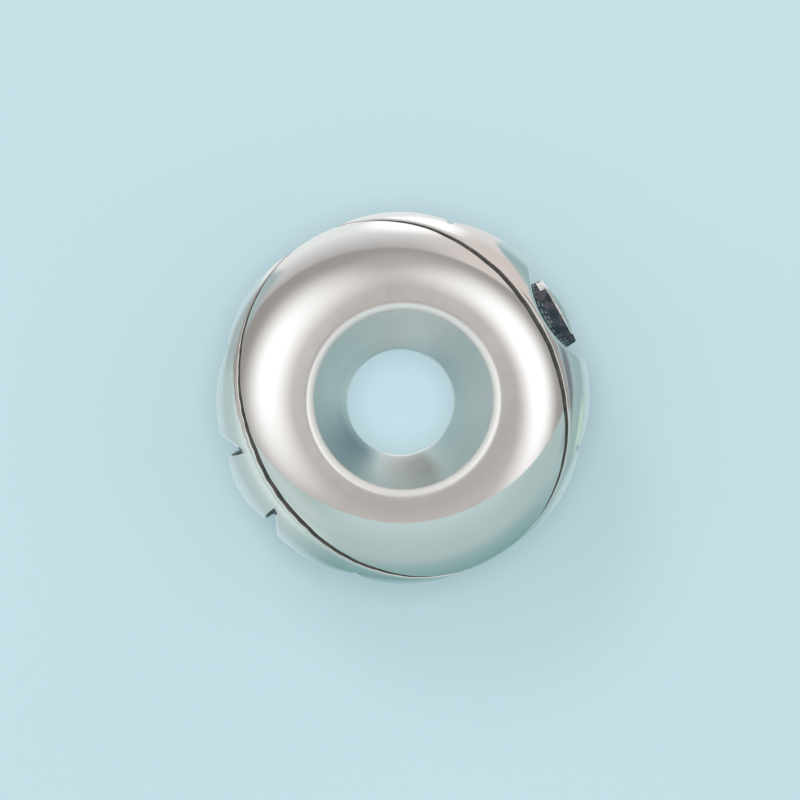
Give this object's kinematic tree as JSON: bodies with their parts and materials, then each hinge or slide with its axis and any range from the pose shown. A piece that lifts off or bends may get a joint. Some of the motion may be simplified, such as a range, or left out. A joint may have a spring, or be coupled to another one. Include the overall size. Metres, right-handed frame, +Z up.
{
  "type": "european charm bead",
  "caption": "Round silver charm bead with a wide waisted bore, engraved wavy lines round both ends, a raised band of petals, a domed boss and a small stone in a bezel collar.",
  "frame": {"origin": "on the bore's axis, in the plane that the bead lies on", "axes": "+Z up along the bore; -Y towards the stone, which is the bead's front"},
  "size_m": [0.0114, 0.0116, 0.0072],
  "materials": {
    "silver": "polished sterling silver, oxidised dark in its engraved lines and round its bezel collar",
    "stone": "polished pale stone with a low dome"
  },
  "bodies": {
    "root": {"bead_body": "silver", "cabochon": "stone"}
  },
  "joints": []
}
